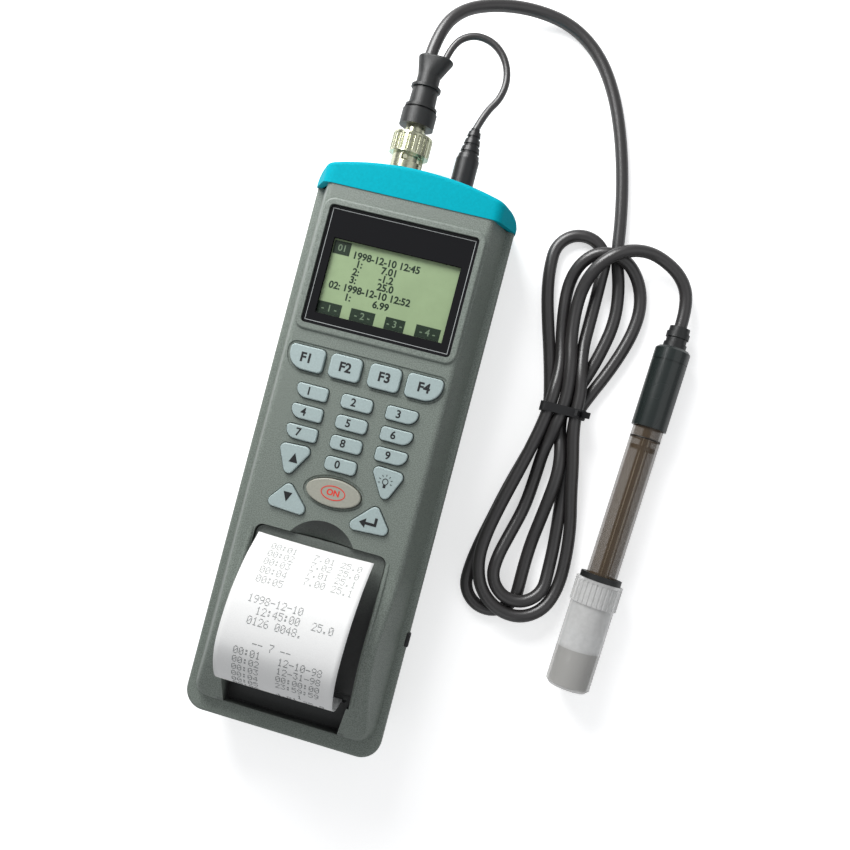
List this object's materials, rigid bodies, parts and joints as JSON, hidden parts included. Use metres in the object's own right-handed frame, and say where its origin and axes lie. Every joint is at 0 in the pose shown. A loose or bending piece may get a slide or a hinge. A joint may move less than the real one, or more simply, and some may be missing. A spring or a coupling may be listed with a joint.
{
  "type": "handheld printing ph meter",
  "caption": "Handheld pH meter with a keypad, a green display, a built-in paper printer and an electrode on a tied cable, lying flat on its back.",
  "frame": {"origin": "middle of the flat rear face that the meter rests on", "axes": "+Y towards the connectors, +Z out of the keypad, +X to the right of the keypad with the connectors away from the user"},
  "size_m": [0.1561, 0.3034, 0.0631],
  "materials": {
    "case_plastic": "textured, satin",
    "cap_plastic": "smooth",
    "key_plastic": "satin, printed legends",
    "window": "clear over a dark mask",
    "lcd_glass": "reflective liquid crystal",
    "white_plastic": "satin",
    "grey_plastic": "satin",
    "board": "solder mask",
    "pad_rubber": "matt",
    "paper": "plain",
    "platen_rubber": "ground",
    "brass": "turned",
    "motor_steel": "drawn",
    "bar_steel": "stamped",
    "contact_steel": "plated",
    "screw_steel": "plated",
    "cell_sleeve": "shrink sleeve",
    "nickel": "nickel plated, slightly worn",
    "black_rubber": "satin moulded",
    "black_plastic": "satin moulded",
    "cable_jacket": "satin extruded",
    "tie_plastic": "satin",
    "head_plastic": "moulded",
    "amber_shaft": "smoky transparent",
    "stem_glass": "clear",
    "bulb_glass": "clear",
    "bottle_plastic": "translucent"
  },
  "bodies": {
    "meter": {"front_shell": "case_plastic", "rear_shell": "case_plastic", "end_cap": "cap_plastic", "case_screws": "screw_steel", "display_window": "window", "lcd_panel": "lcd_glass", "lcd_backlight": "white_plastic", "main_board": "board", "contact_pad": "pad_rubber", "roll_spindle": "grey_plastic", "printer_frame": "grey_plastic", "printer_motor": "motor_steel", "tear_bar": "bar_steel", "batteries": "cell_sleeve", "battery_contacts": "contact_steel", "bnc_socket": "nickel", "bnc_plug": "nickel", "cable_boot": "black_rubber", "temp_socket": "black_plastic", "temp_plug": "black_plastic", "probe_cable_feed": "cable_jacket", "probe_cable_end": "cable_jacket", "cable_hank": "cable_jacket", "cable_tie": "tie_plastic", "temp_cable": "cable_jacket", "probe_relief": "black_rubber", "probe_head": "head_plastic", "probe_shaft": "amber_shaft", "probe_stem": "stem_glass", "probe_bulb": "bulb_glass"},
    "key_f1": {"key_f1": "key_plastic"},
    "key_f2": {"key_f2": "key_plastic"},
    "key_f3": {"key_f3": "key_plastic"},
    "key_f4": {"key_f4": "key_plastic"},
    "key_0": {"key_0": "key_plastic"},
    "key_1": {"key_1": "key_plastic"},
    "key_2": {"key_2": "key_plastic"},
    "key_3": {"key_3": "key_plastic"},
    "key_4": {"key_4": "key_plastic"},
    "key_5": {"key_5": "key_plastic"},
    "key_6": {"key_6": "key_plastic"},
    "key_7": {"key_7": "key_plastic"},
    "key_8": {"key_8": "key_plastic"},
    "key_9": {"key_9": "key_plastic"},
    "key_up": {"key_up": "key_plastic"},
    "key_light": {"key_light": "key_plastic"},
    "key_down": {"key_down": "key_plastic"},
    "key_enter": {"key_enter": "key_plastic"},
    "key_on": {"key_on": "key_plastic"},
    "battery_cover": {"battery_cover": "case_plastic"},
    "paper_cover": {"paper_cover": "case_plastic", "paper_strip": "paper"},
    "bnc_nut": {"bnc_nut": "nickel"},
    "platen_roller": {"platen_roller": "platen_rubber"},
    "drive_gear": {"drive_gear": "white_plastic"},
    "motor_pinion": {"motor_pinion": "brass"},
    "paper_roll": {"paper_roll": "paper"},
    "storage_bottle": {"storage_bottle": "bottle_plastic", "bottle_cap": "bottle_plastic", "bottle_washer": "black_rubber"}
  },
  "joints": [
    {"name": "key_f1_press", "type": "slide", "parent": "meter", "child": "key_f1", "axis": [0, 0, -1], "range_m": [0, 0.0009], "stiffness_N_per_m": 900},
    {"name": "key_f2_press", "type": "slide", "parent": "meter", "child": "key_f2", "axis": [0, 0, -1], "range_m": [0, 0.0009], "stiffness_N_per_m": 900},
    {"name": "key_f3_press", "type": "slide", "parent": "meter", "child": "key_f3", "axis": [0, 0, -1], "range_m": [0, 0.0009], "stiffness_N_per_m": 900},
    {"name": "key_f4_press", "type": "slide", "parent": "meter", "child": "key_f4", "axis": [0, 0, -1], "range_m": [0, 0.0009], "stiffness_N_per_m": 900},
    {"name": "key_0_press", "type": "slide", "parent": "meter", "child": "key_0", "axis": [0, 0, -1], "range_m": [0, 0.0009], "stiffness_N_per_m": 900},
    {"name": "key_1_press", "type": "slide", "parent": "meter", "child": "key_1", "axis": [0, 0, -1], "range_m": [0, 0.0009], "stiffness_N_per_m": 900},
    {"name": "key_2_press", "type": "slide", "parent": "meter", "child": "key_2", "axis": [0, 0, -1], "range_m": [0, 0.0009], "stiffness_N_per_m": 900},
    {"name": "key_3_press", "type": "slide", "parent": "meter", "child": "key_3", "axis": [0, 0, -1], "range_m": [0, 0.0009], "stiffness_N_per_m": 900},
    {"name": "key_4_press", "type": "slide", "parent": "meter", "child": "key_4", "axis": [0, 0, -1], "range_m": [0, 0.0009], "stiffness_N_per_m": 900},
    {"name": "key_5_press", "type": "slide", "parent": "meter", "child": "key_5", "axis": [0, 0, -1], "range_m": [0, 0.0009], "stiffness_N_per_m": 900},
    {"name": "key_6_press", "type": "slide", "parent": "meter", "child": "key_6", "axis": [0, 0, -1], "range_m": [0, 0.0009], "stiffness_N_per_m": 900},
    {"name": "key_7_press", "type": "slide", "parent": "meter", "child": "key_7", "axis": [0, 0, -1], "range_m": [0, 0.0009], "stiffness_N_per_m": 900},
    {"name": "key_8_press", "type": "slide", "parent": "meter", "child": "key_8", "axis": [0, 0, -1], "range_m": [0, 0.0009], "stiffness_N_per_m": 900},
    {"name": "key_9_press", "type": "slide", "parent": "meter", "child": "key_9", "axis": [0, 0, -1], "range_m": [0, 0.0009], "stiffness_N_per_m": 900},
    {"name": "key_up_press", "type": "slide", "parent": "meter", "child": "key_up", "axis": [0, 0, -1], "range_m": [0, 0.0009], "stiffness_N_per_m": 900},
    {"name": "key_light_press", "type": "slide", "parent": "meter", "child": "key_light", "axis": [0, 0, -1], "range_m": [0, 0.0009], "stiffness_N_per_m": 900},
    {"name": "key_down_press", "type": "slide", "parent": "meter", "child": "key_down", "axis": [0, 0, -1], "range_m": [0, 0.0009], "stiffness_N_per_m": 900},
    {"name": "key_enter_press", "type": "slide", "parent": "meter", "child": "key_enter", "axis": [0, 0, -1], "range_m": [0, 0.0009], "stiffness_N_per_m": 900},
    {"name": "key_on_press", "type": "slide", "parent": "meter", "child": "key_on", "axis": [0, 0, -1], "range_m": [0, 0.0009], "stiffness_N_per_m": 900},
    {"name": "battery_cover_hinge", "type": "hinge", "parent": "meter", "child": "battery_cover", "pos_m": [0, 0.0771, 0.0002], "axis": [1, 0, 0], "range_deg": [0, 75]},
    {"name": "paper_cover_hinge", "type": "hinge", "parent": "meter", "child": "paper_cover", "pos_m": [0, -0.0854, 0.031], "axis": [1, 0, 0], "range_deg": [0, 55]},
    {"name": "bnc_nut_turn", "type": "hinge", "parent": "meter", "child": "bnc_nut", "pos_m": [-0.0087, 0.112, 0.022], "axis": [0, 1, 0], "range_deg": [-90, 0]},
    {"name": "platen_spin", "type": "hinge", "parent": "meter", "child": "platen_roller", "pos_m": [0, -0.0942, 0.015], "axis": [1, 0, 0], "continuous": true},
    {"name": "drive_gear_spin", "type": "hinge", "parent": "meter", "child": "drive_gear", "pos_m": [0, -0.07884, 0.01771], "axis": [1, 0, 0], "continuous": true},
    {"name": "motor_pinion_spin", "type": "hinge", "parent": "meter", "child": "motor_pinion", "pos_m": [0, -0.06704, 0.00945], "axis": [1, 0, 0], "continuous": true},
    {"name": "paper_roll_spin", "type": "hinge", "parent": "meter", "child": "paper_roll", "pos_m": [0, -0.05, 0.0182], "axis": [1, 0, 0], "continuous": true},
    {"name": "storage_bottle_slide", "type": "slide", "parent": "meter", "child": "storage_bottle", "axis": [-0.0543, -0.9983, 0.0225], "range_m": [0, 0.075]}
  ],
  "couplings": [
    {"joint": "drive_gear_spin", "follows": "platen_spin", "ratio": -0.625},
    {"joint": "motor_pinion_spin", "follows": "platen_spin", "ratio": 1.25},
    {"joint": "paper_roll_spin", "follows": "platen_spin", "ratio": 0.31429}
  ]
}
